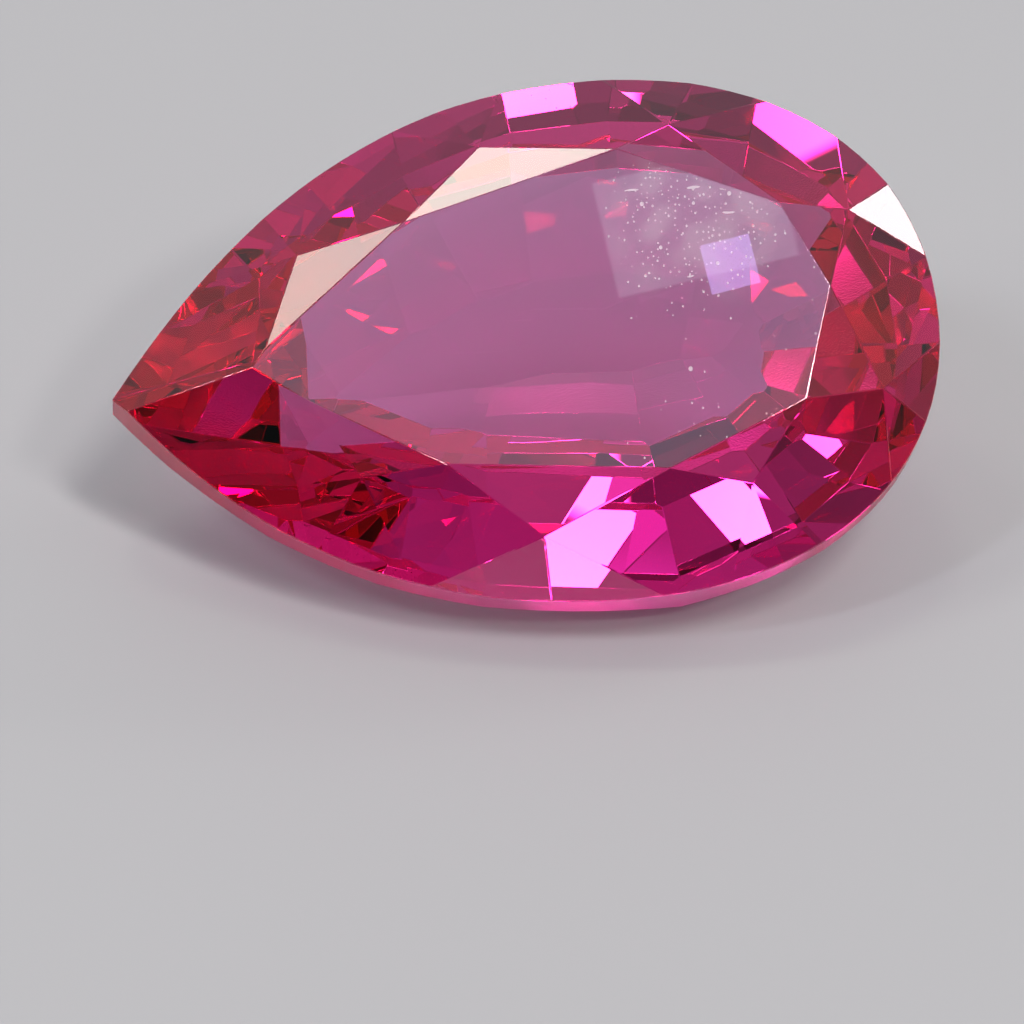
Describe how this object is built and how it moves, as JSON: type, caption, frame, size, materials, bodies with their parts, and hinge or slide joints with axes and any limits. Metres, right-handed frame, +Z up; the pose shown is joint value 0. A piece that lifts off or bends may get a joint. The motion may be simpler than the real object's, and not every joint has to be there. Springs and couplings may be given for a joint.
{
  "type": "faceted pear-cut sapphire",
  "caption": "Loose pear-shaped faceted gemstone, pinkish red and clear, lying tilted on one pavilion facet with its table facing up and forwards.",
  "frame": {"origin": "on the surface the stone lies on, under the middle of its bounding box", "axes": "+X along the stone's long axis towards its round head, +Z up, table facing up and towards -Y"},
  "size_m": [0.01, 0.0056, 0.0046],
  "materials": {
    "sapphire": "polished flat facets, clear pinkish-red corundum, index of refraction 1.77"
  },
  "bodies": {
    "root": {"sapphire": "sapphire"}
  },
  "joints": []
}
